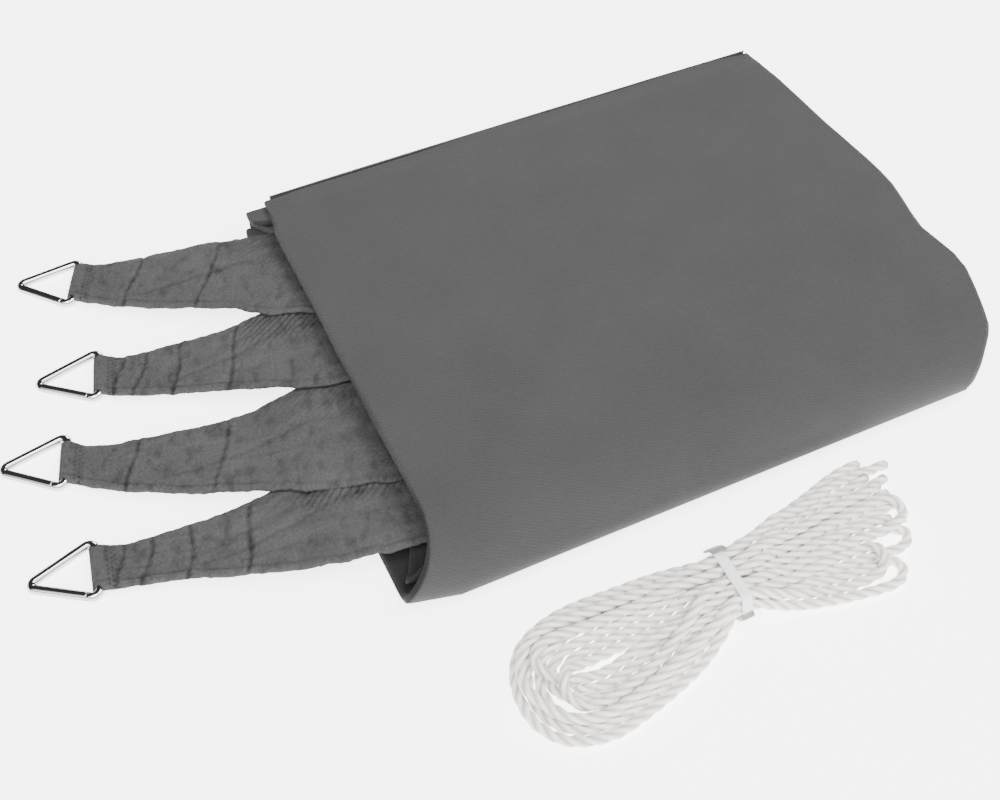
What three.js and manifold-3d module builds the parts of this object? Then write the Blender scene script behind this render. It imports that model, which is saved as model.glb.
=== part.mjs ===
// A square sun-shade sail folded for storage, in millimetres, +Z up.
//
// The knitted sail is folded into a flat packet whose plies all turn round one front fold, so
// the packet opens like a book about that fold. The four corners of the sail are gathered into
// tapered tails that leave the mouth between the two halves of the packet, at its left end.
// Each tail ends in a cloth loop that holds a triangular wire ring by its base bar. The four
// lashing ropes lie in front of the packet in one hank, pinched by a tie.
//
// The origin is on the ground, in the middle of the sail's footprint. +X runs along the packet,
// away from the tails, and +Y runs from the front fold to the open edges at the back.

import * as THREE from 'three';
import { mergeVertices } from 'three/addons/utils/BufferGeometryUtils.js';
import Module from 'manifold-3d';

const wasm = await Module();
wasm.setup();

// ---- Driving dimensions -------------------------------------------------------------------

// Packet: where its sides stand and how high it is.
const FRONT_Y = -215;
const BACK_Y = 190;
const UPPER_LEFT_X = -117;
const LOWER_LEFT_X = -148;
const BEYOND_RIGHT_X = 400;
const FOLD_HEIGHT = 25;
const FRONT_HEIGHT = 52;
const BACK_HEIGHT = 42;
const BACK_EDGE_RADIUS = 12;
const HALF_CLEARANCE = 0.25;
const LEFT_BEVEL_RUN = 15;
const LEFT_BEVEL_DROP = 12;
const UPPER_EDGE_RADIUS = 3;
const OVER_TOP = FRONT_HEIGHT + 1;

// Right-hand side of the packet: corners as [x, y, rounding].
const RIGHT_SIDE = [
  [318, FRONT_Y, 20],
  [352, -186, 22],
  [376, -120, 20],
  [367, -70, 20],
  [379, -15, 30],
  [368, BACK_Y, 26],
];
const LEFT_CORNER_RADIUS = 16;

// Mouth: the wedge between the halves that the tails come out of.
const MOUTH_INNER_X = -50;
const MOUTH_FLOOR = 14;
const MOUTH_ROOF = 33;
const MOUTH_LIP_RADIUS = 6;
const ROOT_INNER_X = -60;
const ROOT_OUTER_X = -178;
const ROOT_TOP = 26;
const ROOT_CLEARANCE = 0.5;

// Tails: hinge point at the mouth, heading from -X towards +Y, length to the ring's base bar
// and width at the mouth.
const TAILS = [
  { x: -146, y: 137, heading: 24, length: 146, width: 70 },
  { x: -150, y: 55, heading: 15, length: 142, width: 72 },
  { x: -154, y: -34, heading: 17, length: 185, width: 72 },
  { x: -153, y: -111, heading: 9.4, length: 183, width: 72 },
];
const HINGE_HEIGHT = 22;
const TAIL_ROOT_RADIUS = 4;
const TAIL_END_HALF = 2.5;
const TAIL_END_SET_BACK = 6;
const TAIL_NECK_WIDTH = 46;
const TAIL_END_WIDTH = 41;
const NECK_SHARE = 0.5;
const FLARE_SHARE = 0.22;
const FLARE_INSET = 8;

// Rings: outer width and length of the bent wire triangle.
const WIRE_DIAMETER = 6.5;
const WIRE_SIDES = 12;
const BEND_STEPS = 5;
const RING_WIDTH = 50;
const RING_LENGTH = 53;
const BASE_BEND_RADIUS = 5;
const APEX_BEND_RADIUS = 4;
const BUTT_GAP = 0.8;
const BUTT_FROM_BEND = 1.5;
const BAR_HEIGHT = 6;
const APEX_OFF_GROUND = 0.1;

// Cloth loop round the base bar, and the patch sewn next to it.
const LOOP_CLOTH = 1.5;
const LOOP_CLEARANCE = 0.4;
const LOOP_WIDTH = 33;
const LOOP_LEG = 16;
const PATCH_START = 62;
const PATCH_END = 17.5;
const PATCH_WIDTH = 37;
const PATCH_CLOTH = 1.2;
const SEAM_GAP = 0.35;

// Rope hank: two lobes either side of a tied waist.
const WAIST = { x: 62, y: -282, halfWidth: 25 };
const LEFT_LOBE = { x: -58, y: -298, radius: 50 };
const RIGHT_LOBE = { x: 176, y: -281, radius: 48 };
const WAIST_REACH = 70;
const HANK_HEIGHT = 21;
const TIE_WIDTH = 6;
const TIE_THICKNESS = 1.4;
const TIE_SIDE_CLEARANCE = 1;
const TIE_DEPTH_CLEARANCE = 0.6;

// ---- Materials ----------------------------------------------------------------------------

const CLOTH = { color: 0x6a6a6b, roughness: 0.9, metalness: 0 };
const STEEL = { color: 0xd2d3d5, roughness: 0.12, metalness: 1 };
const ROPE = { color: 0xebe8e5, roughness: 0.6, metalness: 0 };
const TIE = { color: 0xd9dad6, roughness: 0.5, metalness: 0 };

// ---- Geometry helpers ---------------------------------------------------------------------

const radians = THREE.MathUtils.degToRad;

/** A closed shape through corners given as [x, y, rounding]. */
function roundedShape(corners) {
  const shape = new THREE.Shape();
  corners.forEach(([x, y, rounding], i) => {
    const corner = new THREE.Vector2(x, y);
    const before = new THREE.Vector2(...corners.at(i - 1).slice(0, 2));
    const after = new THREE.Vector2(...corners[(i + 1) % corners.length].slice(0, 2));
    const enter = corner.clone().add(before.sub(corner).setLength(rounding));
    const leave = corner.clone().add(after.sub(corner).setLength(rounding));
    if (i === 0) {
      shape.moveTo(enter.x, enter.y);
    } else {
      shape.lineTo(enter.x, enter.y);
    }
    if (rounding > 0) {
      shape.quadraticCurveTo(x, y, leave.x, leave.y);
    }
  });
  shape.closePath();
  return shape;
}

/** A shape's outline standing along Z, without the doubled points where its pieces meet. */
function prism(shape, depth, curveSegments = 6) {
  const points = shape.getPoints(curveSegments);
  const single = points.filter((point, i) => point.distanceTo(points.at(i - 1)) > 1e-4);
  return new THREE.ExtrudeGeometry(new THREE.Shape(single), { depth, bevelEnabled: false });
}

/** A plan outline (x, y) standing from one height to another. */
function planPrism(shape, bottom, top) {
  return prism(shape, top - bottom).translate(0, 0, bottom);
}

/** A front profile (x, z) running from one y to another. */
function frontPrism(shape, fromY, toY, curveSegments) {
  const basis = new THREE.Matrix4().makeBasis(
    new THREE.Vector3(1, 0, 0),
    new THREE.Vector3(0, 0, 1),
    new THREE.Vector3(0, -1, 0),
  );
  return prism(shape, toY - fromY, curveSegments).applyMatrix4(basis).translate(0, toY, 0);
}

/** A side profile (y, z) running from one x to another. */
function sidePrism(shape, fromX, toX) {
  const basis = new THREE.Matrix4().makeBasis(
    new THREE.Vector3(0, 1, 0),
    new THREE.Vector3(0, 0, 1),
    new THREE.Vector3(1, 0, 0),
  );
  return prism(shape, toX - fromX).applyMatrix4(basis).translate(fromX, 0, 0);
}

function box(low, high) {
  const size = high.map((value, i) => value - low[i]);
  const centre = high.map((value, i) => (value + low[i]) / 2);
  return new THREE.BoxGeometry(...size).translate(...centre);
}

function toSolid(geometry) {
  const bare = geometry.clone();
  bare.deleteAttribute('normal');
  bare.deleteAttribute('uv');
  const merged = mergeVertices(bare, 1e-3);
  return new wasm.Manifold(
    new wasm.Mesh({
      numProp: 3,
      vertProperties: new Float32Array(merged.attributes.position.array),
      triVerts: new Uint32Array(merged.index.array),
    }),
  );
}

function toGeometry(solid) {
  const mesh = solid.getMesh();
  const geometry = new THREE.BufferGeometry();
  geometry.setAttribute('position', new THREE.BufferAttribute(mesh.vertProperties, 3));
  geometry.setIndex(new THREE.BufferAttribute(mesh.triVerts, 1));
  geometry.computeVertexNormals();
  return geometry;
}

function intersection(...geometries) {
  const [first, ...rest] = geometries.map(toSolid);
  return toGeometry(rest.reduce((solid, other) => solid.intersect(other), first));
}

function difference(geometry, ...cutters) {
  const whole = toSolid(geometry);
  return toGeometry(cutters.map(toSolid).reduce((solid, cutter) => solid.subtract(cutter), whole));
}

function part(name, geometry, look) {
  const mesh = new THREE.Mesh(geometry, new THREE.MeshStandardMaterial(look));
  mesh.name = name;
  return mesh;
}

// ---- Packet -------------------------------------------------------------------------------

function packetPlan(leftX) {
  return roundedShape([
    [leftX, FRONT_Y, LEFT_CORNER_RADIUS],
    ...RIGHT_SIDE,
    [leftX, BACK_Y, LEFT_CORNER_RADIUS],
  ]);
}

/** The half that lies on the ground, with the floor of the mouth at its left end. */
function lowerFolds() {
  const top = FOLD_HEIGHT - HALF_CLEARANCE;
  const side = new THREE.Shape();
  side.moveTo(FRONT_Y, top);
  side.absarc(FRONT_Y + top, top, top, Math.PI, 1.5 * Math.PI, false);
  side.lineTo(BACK_Y - BACK_EDGE_RADIUS, 0);
  side.absarc(
    BACK_Y - BACK_EDGE_RADIUS,
    BACK_EDGE_RADIUS,
    BACK_EDGE_RADIUS,
    1.5 * Math.PI,
    2 * Math.PI,
    false,
  );
  side.lineTo(BACK_Y, top);
  side.closePath();
  const front = roundedShape([
    [LOWER_LEFT_X, 0, MOUTH_LIP_RADIUS],
    [BEYOND_RIGHT_X, 0, 0],
    [BEYOND_RIGHT_X, top, 0],
    [MOUTH_INNER_X, top, 0],
    [LOWER_LEFT_X, MOUTH_FLOOR, MOUTH_LIP_RADIUS],
  ]);
  const geometry = intersection(
    sidePrism(side, LOWER_LEFT_X, BEYOND_RIGHT_X),
    planPrism(packetPlan(LOWER_LEFT_X), -1, OVER_TOP),
    frontPrism(front, FRONT_Y, BACK_Y),
  );
  return part('sail_lower_folds', geometry, CLOTH);
}

/** The half that opens, thicker at the front fold than at the back. */
function upperFolds() {
  const bottom = FOLD_HEIGHT + HALF_CLEARANCE;
  const frontRadius = FRONT_HEIGHT - bottom;
  const side = new THREE.Shape();
  side.moveTo(FRONT_Y, bottom);
  side.lineTo(BACK_Y, bottom);
  side.lineTo(BACK_Y, BACK_HEIGHT - BACK_EDGE_RADIUS);
  side.absarc(
    BACK_Y - BACK_EDGE_RADIUS,
    BACK_HEIGHT - BACK_EDGE_RADIUS,
    BACK_EDGE_RADIUS,
    0,
    Math.PI / 2,
    false,
  );
  side.lineTo(FRONT_Y + frontRadius, FRONT_HEIGHT);
  side.absarc(FRONT_Y + frontRadius, bottom, frontRadius, Math.PI / 2, Math.PI, false);
  side.closePath();
  const front = roundedShape([
    [UPPER_LEFT_X, MOUTH_ROOF, UPPER_EDGE_RADIUS],
    [MOUTH_INNER_X, bottom, 0],
    [BEYOND_RIGHT_X, bottom, 0],
    [BEYOND_RIGHT_X, OVER_TOP, 0],
    [UPPER_LEFT_X + LEFT_BEVEL_RUN, OVER_TOP, 0],
    [UPPER_LEFT_X, FRONT_HEIGHT - LEFT_BEVEL_DROP, UPPER_EDGE_RADIUS],
  ]);
  const geometry = intersection(
    sidePrism(side, UPPER_LEFT_X, BEYOND_RIGHT_X),
    planPrism(packetPlan(UPPER_LEFT_X), 0, OVER_TOP),
    frontPrism(front, FRONT_Y, BACK_Y),
  );
  return part('sail_upper_folds', geometry, CLOTH);
}

// ---- Corner tails -------------------------------------------------------------------------

/** The stretch of a corner that lies inside the mouth, ending just short of the tail's hinge. */
function cornerRoot(number, tail) {
  const heading = radians(tail.heading);
  const along = new THREE.Vector2(Math.cos(heading), -Math.sin(heading));
  const across = new THREE.Vector2(Math.sin(heading), Math.cos(heading));
  const centre = new THREE.Vector2(tail.x, tail.y);
  const setBack = TAIL_ROOT_RADIUS + ROOT_CLEARANCE;
  const [near, far] = [-1, 1].map((side) =>
    centre.clone().addScaledVector(along, setBack).addScaledVector(across, (side * tail.width) / 2),
  );
  const plan = roundedShape([
    [near.x, near.y, 0],
    [ROOT_INNER_X, near.y, 0],
    [ROOT_INNER_X, far.y, 0],
    [far.x, far.y, 0],
  ]);
  const floorAt = (x) => {
    const share = (x - LOWER_LEFT_X) / (MOUTH_INNER_X - LOWER_LEFT_X);
    return THREE.MathUtils.lerp(MOUTH_FLOOR, FOLD_HEIGHT, share) + ROOT_CLEARANCE;
  };
  const front = roundedShape([
    [ROOT_OUTER_X, floorAt(LOWER_LEFT_X), 0],
    [LOWER_LEFT_X, floorAt(LOWER_LEFT_X), 0],
    [ROOT_INNER_X, floorAt(ROOT_INNER_X), 0],
    [ROOT_INNER_X, ROOT_TOP, 0],
    [ROOT_OUTER_X, ROOT_TOP, 0],
  ]);
  const geometry = intersection(
    planPrism(plan, 0, FRONT_HEIGHT),
    frontPrism(front, FRONT_Y, BACK_Y),
  );
  return part(`corner_root_${number}`, geometry, CLOTH);
}

/** The tail's top face as a height above its middle plane, at a distance from the hinge. */
function tailTopAt(distance, length) {
  const share = distance / (length - LOOP_LEG);
  return THREE.MathUtils.lerp(TAIL_ROOT_RADIUS, TAIL_END_HALF, Math.min(share, 1));
}

/** The gathered tail: flared at the mouth, slim at the ring, rolled round its hinge line. */
function cornerTail(number, tail) {
  const end = tail.length - TAIL_END_SET_BACK;
  const loopStart = tail.length - LOOP_LEG;
  const plan = new THREE.Shape();
  const [wide, narrow, slim] = [tail.width, TAIL_NECK_WIDTH, TAIL_END_WIDTH].map((w) => w / 2);
  const neck = NECK_SHARE * tail.length;
  const flare = FLARE_SHARE * tail.length;
  plan.moveTo(-TAIL_ROOT_RADIUS, -wide);
  plan.lineTo(0, -wide);
  plan.bezierCurveTo(flare, -wide + FLARE_INSET, flare, -narrow, neck, -narrow);
  plan.lineTo(end, -slim);
  plan.lineTo(end, slim);
  plan.lineTo(neck, narrow);
  plan.bezierCurveTo(flare, narrow, flare, wide - FLARE_INSET, 0, wide);
  plan.lineTo(-TAIL_ROOT_RADIUS, wide);
  plan.closePath();
  const profile = new THREE.Shape();
  profile.moveTo(0, -TAIL_ROOT_RADIUS);
  profile.lineTo(loopStart, -TAIL_END_HALF);
  profile.lineTo(end, -TAIL_END_HALF);
  profile.lineTo(end, TAIL_END_HALF);
  profile.lineTo(loopStart, TAIL_END_HALF);
  profile.lineTo(0, TAIL_ROOT_RADIUS);
  profile.absarc(0, 0, TAIL_ROOT_RADIUS, Math.PI / 2, 1.5 * Math.PI, false);
  profile.closePath();
  const geometry = intersection(
    planPrism(plan, -2 * TAIL_ROOT_RADIUS, 2 * TAIL_ROOT_RADIUS),
    frontPrism(profile, -tail.width, tail.width),
  );
  return part(`corner_tail_${number}`, geometry, CLOTH);
}

/** A second layer of cloth sewn on top of the tail, next to the loop. */
function cornerPatch(number, tail) {
  const [start, end] = [tail.length - PATCH_START, tail.length - PATCH_END];
  const [startTop, endTop] = [start, end].map((x) => tailTopAt(x, tail.length) + SEAM_GAP);
  const profile = roundedShape([
    [start, startTop, 0],
    [end, endTop, 0],
    [end, endTop + PATCH_CLOTH, 0],
    [start, startTop + PATCH_CLOTH, 0],
  ]);
  const geometry = frontPrism(profile, -PATCH_WIDTH / 2, PATCH_WIDTH / 2);
  return part(`corner_patch_${number}`, geometry, CLOTH);
}

/** A strip of cloth bent in a hairpin round the base bar, its two legs over and under the tail. */
function ringLoop(number, tail) {
  const inner = WIRE_DIAMETER / 2 + LOOP_CLEARANCE;
  const outer = inner + LOOP_CLOTH;
  const legEnd = tail.length - LOOP_LEG;
  const profile = new THREE.Shape();
  profile.moveTo(legEnd, -outer);
  profile.lineTo(tail.length, -outer);
  profile.absarc(tail.length, 0, outer, -Math.PI / 2, Math.PI / 2, false);
  profile.lineTo(legEnd, outer);
  profile.lineTo(legEnd, inner);
  profile.lineTo(tail.length, inner);
  profile.absarc(tail.length, 0, inner, Math.PI / 2, -Math.PI / 2, true);
  profile.lineTo(legEnd, -inner);
  profile.closePath();
  const geometry = frontPrism(profile, -LOOP_WIDTH / 2, LOOP_WIDTH / 2, 10);
  return part(`ring_loop_${number}`, geometry, CLOTH);
}

// ---- Rings --------------------------------------------------------------------------------

/** A path that is sampled at its own knots, each a point with the direction it runs in. */
class KnotPath extends THREE.Curve {
  constructor(knots) {
    super();
    this.knots = knots;
  }

  knotAt(share) {
    return this.knots[Math.round(share * (this.knots.length - 1))];
  }

  getPointAt(share) {
    return this.knotAt(share).point.clone();
  }

  getTangentAt(share) {
    return this.knotAt(share).tangent.clone();
  }
}

/** Knots of a bend about a centre, as the wire's direction turns from one angle to another. */
function bendKnots(centre, radius, fromAngle, toAngle) {
  return Array.from({ length: BEND_STEPS + 1 }, (_, i) => {
    const direction = THREE.MathUtils.lerp(fromAngle, toAngle, i / BEND_STEPS);
    const tangent = new THREE.Vector3(Math.cos(direction), Math.sin(direction), 0);
    const outward = new THREE.Vector3(tangent.y, -tangent.x, 0);
    return { point: outward.multiplyScalar(radius).add(centre), tangent };
  });
}

/** Centres of the ring's three bends, and how far its legs lean from their common axis. */
function ringBends() {
  const halfBase = (RING_WIDTH - WIRE_DIAMETER) / 2 - BASE_BEND_RADIUS;
  const apexX = RING_LENGTH - WIRE_DIAMETER - APEX_BEND_RADIUS;
  const baseCentre = new THREE.Vector3(BASE_BEND_RADIUS, halfBase, 0);
  const apexCentre = new THREE.Vector3(apexX, 0, 0);
  const run = apexCentre.clone().sub(baseCentre);
  const lean = Math.atan2(-run.y, run.x);
  const legAngle = lean - Math.asin((BASE_BEND_RADIUS - APEX_BEND_RADIUS) / run.length());
  const lowCentre = new THREE.Vector3(BASE_BEND_RADIUS, -halfBase, 0);
  return { apexCentre, highCentre: baseCentre, lowCentre, legAngle };
}

/**
 * All knots of the ring's wire: a triangle in the XY plane with its base bar along Y through
 * the origin and its apex towards +X, run anticlockwise. The two ends butt on the leg at -Y,
 * next to its base bend.
 */
function ringKnots() {
  const { apexCentre, highCentre, lowCentre, legAngle } = ringBends();
  const outward = legAngle;
  const back = Math.PI - legAngle;
  const downBar = 1.5 * Math.PI;
  const apex = bendKnots(apexCentre, APEX_BEND_RADIUS, outward, back);
  const high = bendKnots(highCentre, BASE_BEND_RADIUS, back, downBar);
  const low = bendKnots(lowCentre, BASE_BEND_RADIUS, downBar, 2 * Math.PI + outward);
  const alongLeg = (knot, distance) => ({
    point: knot.point.clone().addScaledVector(knot.tangent, distance),
    tangent: knot.tangent.clone(),
  });
  const buttAfterBend = alongLeg(low.at(-1), BUTT_FROM_BEND);
  const buttOnLeg = alongLeg(low.at(-1), BUTT_FROM_BEND + BUTT_GAP);
  return [buttOnLeg, ...apex, ...high, ...low, buttAfterBend];
}

function wireSection() {
  const section = new THREE.Shape();
  for (let i = 0; i < WIRE_SIDES; i += 1) {
    const angle = ((i + 0.5) * 2 * Math.PI) / WIRE_SIDES;
    const point = [Math.cos(angle), Math.sin(angle)].map((value) => (value * WIRE_DIAMETER) / 2);
    if (i === 0) {
      section.moveTo(...point);
    } else {
      section.lineTo(...point);
    }
  }
  section.closePath();
  return section;
}

function ring(number) {
  const knots = ringKnots();
  const geometry = new THREE.ExtrudeGeometry(wireSection(), {
    steps: knots.length - 1,
    extrudePath: new KnotPath(knots),
  });
  return part(`ring_${number}`, geometry, STEEL);
}

/** One corner outside the mouth: its tail slopes down from the hinge and the ring from its bar. */
function corner(number, tail) {
  const slope = Math.asin((HINGE_HEIGHT - BAR_HEIGHT) / tail.length);
  const barToApex = RING_LENGTH - WIRE_DIAMETER;
  const apexHeight = WIRE_DIAMETER / 2 + APEX_OFF_GROUND;
  const ringSlope = Math.asin((BAR_HEIGHT - apexHeight) / barToApex);
  const heading = new THREE.Group();
  heading.position.set(tail.x, tail.y, HINGE_HEIGHT);
  heading.rotation.z = Math.PI - radians(tail.heading);
  const sloped = new THREE.Group();
  sloped.rotation.y = slope;
  const atBar = new THREE.Group();
  atBar.position.x = tail.length;
  atBar.rotation.y = slope - ringSlope;
  atBar.rotation.x = Math.PI;
  atBar.add(ring(number));
  sloped.add(cornerTail(number, tail), cornerPatch(number, tail), ringLoop(number, tail), atBar);
  heading.add(sloped);
  return heading;
}

// ---- Ropes --------------------------------------------------------------------------------

/** The hank's outline from above: two round lobes drawn in to a waist. */
function hankOutline() {
  const top = WAIST.y + WAIST.halfWidth;
  const bottom = WAIST.y - WAIST.halfWidth;
  const [left, right] = [LEFT_LOBE, RIGHT_LOBE];
  const leftEase = [WAIST.x - WAIST_REACH, left.x + WAIST_REACH];
  const rightEase = [WAIST.x + WAIST_REACH, right.x - WAIST_REACH];
  const leftTop = left.y + left.radius;
  const leftBottom = left.y - left.radius;
  const rightTop = right.y + right.radius;
  const rightBottom = right.y - right.radius;
  const outline = new THREE.Shape();
  outline.moveTo(WAIST.x, top);
  outline.bezierCurveTo(leftEase[0], top, leftEase[1], leftTop, left.x, leftTop);
  outline.absarc(left.x, left.y, left.radius, Math.PI / 2, 1.5 * Math.PI, false);
  outline.bezierCurveTo(leftEase[1], leftBottom, leftEase[0], bottom, WAIST.x, bottom);
  outline.bezierCurveTo(rightEase[0], bottom, rightEase[1], rightBottom, right.x, rightBottom);
  outline.absarc(right.x, right.y, right.radius, -Math.PI / 2, Math.PI / 2, false);
  outline.bezierCurveTo(rightEase[1], rightTop, rightEase[0], top, WAIST.x, top);
  return outline;
}

/** The space that the four coiled ropes fill, with a groove all round its waist for the tie. */
function ropeHank() {
  const top = WAIST.y + WAIST.halfWidth;
  const bottom = WAIST.y - WAIST.halfWidth;
  const halfGroove = TIE_WIDTH / 2 + TIE_SIDE_CLEARANCE;
  const groove = TIE_THICKNESS + TIE_DEPTH_CLEARANCE;
  const groovePart = (low, high) =>
    box([WAIST.x - halfGroove, ...low], [WAIST.x + halfGroove, ...high]);
  const geometry = difference(
    prism(hankOutline(), HANK_HEIGHT, 10),
    groovePart([bottom - groove, -1], [top + groove, groove]),
    groovePart([bottom - groove, HANK_HEIGHT - groove], [top + groove, HANK_HEIGHT + 1]),
    groovePart([bottom - groove, -1], [bottom + groove, HANK_HEIGHT + 1]),
    groovePart([top - groove, -1], [top + groove, HANK_HEIGHT + 1]),
  );
  return part('rope_hank', geometry, ROPE);
}

/** A band round the waist of the hank. */
function hankTie() {
  const halfWidth = TIE_WIDTH / 2;
  const [bottom, top] = [WAIST.y - WAIST.halfWidth, WAIST.y + WAIST.halfWidth];
  const outer = box([WAIST.x - halfWidth, bottom, 0], [WAIST.x + halfWidth, top, HANK_HEIGHT]);
  const inner = box(
    [WAIST.x - TIE_WIDTH, bottom + TIE_THICKNESS, TIE_THICKNESS],
    [WAIST.x + TIE_WIDTH, top - TIE_THICKNESS, HANK_HEIGHT - TIE_THICKNESS],
  );
  return part('hank_tie', difference(outer, inner), TIE);
}

// ---- Assembly -----------------------------------------------------------------------------

const sail = new THREE.Group();
sail.add(lowerFolds(), upperFolds());
TAILS.forEach((tail, i) => {
  sail.add(cornerRoot(i + 1, tail), corner(i + 1, tail));
});
sail.add(ropeHank(), hankTie());

export default sail;
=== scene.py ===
"""A folded shade sail: grey knitted packet, four gathered corner tails on triangular rings, and
a tied hank of white rope in front. Shapes are worked out in millimetres and stored in metres."""
import math

import bpy
import numpy as np
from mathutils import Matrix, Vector


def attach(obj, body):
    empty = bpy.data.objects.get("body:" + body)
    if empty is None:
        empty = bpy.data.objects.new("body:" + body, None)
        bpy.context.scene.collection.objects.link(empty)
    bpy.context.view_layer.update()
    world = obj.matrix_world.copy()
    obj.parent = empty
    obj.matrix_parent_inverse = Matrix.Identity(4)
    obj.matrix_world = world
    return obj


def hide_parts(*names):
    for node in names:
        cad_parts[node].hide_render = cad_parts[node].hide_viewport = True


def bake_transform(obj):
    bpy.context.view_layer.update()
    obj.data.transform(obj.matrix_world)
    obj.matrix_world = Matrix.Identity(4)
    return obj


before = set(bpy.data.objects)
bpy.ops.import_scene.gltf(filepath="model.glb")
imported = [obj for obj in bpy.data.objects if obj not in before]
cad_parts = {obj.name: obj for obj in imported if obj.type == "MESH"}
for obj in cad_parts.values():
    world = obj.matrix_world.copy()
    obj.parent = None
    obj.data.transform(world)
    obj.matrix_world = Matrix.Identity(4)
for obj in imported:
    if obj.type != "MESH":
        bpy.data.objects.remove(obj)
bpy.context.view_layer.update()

MM = 0.001

# ---- Camera ---------------------------------------------------------------------------------

CAMERA_AZIMUTH = math.radians(-25)
CAMERA_ELEVATION = math.radians(52)
CAMERA_DISTANCE = 1.053
CAMERA_LENS = 48.6
CAMERA_TARGET = Vector((-0.010, -0.060, 0.0))


def make_camera():
    back = Vector((
        math.sin(CAMERA_AZIMUTH) * math.cos(CAMERA_ELEVATION),
        -math.cos(CAMERA_AZIMUTH) * math.cos(CAMERA_ELEVATION),
        math.sin(CAMERA_ELEVATION),
    ))
    data = bpy.data.cameras.new("camera")
    data.sensor_width = 36
    data.lens = CAMERA_LENS
    data.clip_start = 0.05
    camera = bpy.data.objects.new("camera", data)
    camera.location = CAMERA_TARGET + back * CAMERA_DISTANCE
    camera.rotation_euler = (-back).to_track_quat("-Z", "Y").to_euler()
    bpy.context.scene.collection.objects.link(camera)
    bpy.context.scene.camera = camera


make_camera()

# ---- Small helpers --------------------------------------------------------------------------


def smoothstep(low, high, value):
    t = np.clip((value - low) / (high - low), 0, 1)
    return t * t * (3 - 2 * t)


def lerp(a, b, t):
    return a + (b - a) * t


def value_noise(x, y, seed):
    """Smooth lattice noise from -1 to 1, one cell per unit."""
    table = np.random.default_rng(seed).uniform(-1, 1, (64, 64))
    x, y = np.broadcast_arrays(np.asarray(x, float), np.asarray(y, float))
    xi, yi = np.floor(x).astype(int), np.floor(y).astype(int)
    xf, yf = x - xi, y - yi
    xf, yf = xf * xf * (3 - 2 * xf), yf * yf * (3 - 2 * yf)
    at = lambda i, j: table[(xi + i) % 64, (yi + j) % 64]
    return lerp(lerp(at(0, 0), at(1, 0), xf), lerp(at(0, 1), at(1, 1), xf), yf)


def fractal(x, y, seed, octaves=3):
    total = sum(
        value_noise(x * 2**k + 7.3 * k, y * 2**k - 3.1 * k, seed + k) / 2**k for k in range(octaves)
    )
    return total / sum(0.5**k for k in range(octaves))


def grid_object(name, points, uv, wrap=False, cap_first=False, cap_last=False):
    """A quad grid of points (rows, columns, 3) in mm. uv is (rows, columns + wrap, 2) in mm."""
    rows, cols = points.shape[:2]
    i = np.arange(rows - 1)[:, None]
    j = np.arange(cols if wrap else cols - 1)[None, :]
    i, j = np.broadcast_arrays(i, j)
    k = (j + 1) % cols
    quads = np.stack([i * cols + j, i * cols + k, (i + 1) * cols + k, (i + 1) * cols + j], -1)
    loop_uv = np.stack([uv[i, j], uv[i, j + 1], uv[i + 1, j + 1], uv[i + 1, j]], -2)
    faces = quads.reshape(-1, 4).tolist()
    loop_uv = loop_uv.reshape(-1, 2)
    ends = []
    if cap_first:
        ends.append(list(range(cols - 1, -1, -1)))
    if cap_last:
        ends.append([(rows - 1) * cols + c for c in range(cols)])
    mesh = bpy.data.meshes.new(name)
    mesh.from_pydata((points.reshape(-1, 3) * MM).tolist(), [], faces + ends)
    layer = mesh.uv_layers.new(name="UVMap")
    extra = np.zeros((sum(map(len, ends)), 2))
    layer.data.foreach_set("uv", np.concatenate([loop_uv, extra]).astype(np.float32).ravel())
    mesh.polygons.foreach_set("use_smooth", np.ones(len(mesh.polygons), bool))
    mesh.update()
    obj = bpy.data.objects.new(name, mesh)
    bpy.context.scene.collection.objects.link(obj)
    return obj


def tube_frames(line):
    """Unit tangents and two side vectors carried along a line without twist."""
    tangent = np.gradient(line, axis=0)
    tangent /= np.linalg.norm(tangent, axis=1)[:, None]
    side = np.cross(tangent[0], (0.0, 0.0, 1.0))
    sides = []
    for t in tangent:
        side = side - (side @ t) * t
        side /= np.linalg.norm(side)
        sides.append(side)
    sides = np.array(sides)
    return tangent, sides, np.cross(tangent, sides)


def resample(points, step):
    """Points along a smooth curve through the given ones, about one step apart."""
    padded = np.concatenate([[2 * points[0] - points[1]], points, [2 * points[-1] - points[-2]]])
    t = np.linspace(0, 1, 24, endpoint=False)[:, None]
    pieces = []
    for p0, p1, p2, p3 in zip(padded, padded[1:], padded[2:], padded[3:]):
        pieces.append(0.5 * (
            2 * p1 + (p2 - p0) * t + (2 * p0 - 5 * p1 + 4 * p2 - p3) * t**2
            + (3 * p1 - p0 - 3 * p2 + p3) * t**3
        ))
    fine = np.concatenate([*pieces, points[-1:]])
    run = np.concatenate([[0], np.cumsum(np.linalg.norm(np.diff(fine, axis=0), axis=1))])
    count = max(int(round(run[-1] / step)), 2)
    at = np.linspace(0, run[-1], count + 1)
    return np.stack([np.interp(at, run, fine[:, c]) for c in range(3)], 1), at


# ---- Ropes ----------------------------------------------------------------------------------

ROPE = 8.0
ROPE_LAY = 34.0
WAIST_X, WAIST_Y = 62.0, -282.0
LINK = 5.0
SLOT_PITCH = 8.1
TIE_THICK = 0.7
TIE_WIDE = 8.0
TIE_GAP = 0.02
# How the ropes settle: rounds, then each round's drop, smoothing, push apart and pull home.
SETTLE_ROUNDS = 240
DROP, SMOOTHING, PUSH, HOMING = 0.16, 0.12, 0.42, 0.012
TIE_REACH, TIE_HOLD = 9.0, 0.9
CONTACT = 0.985
# A strand's radius and its distance from the rope's middle, as shares of the rope's diameter.
STRAND_SHARE, OFFSET_SHARE = 0.264, 0.237
MELT_LENGTH = 3.2


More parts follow.
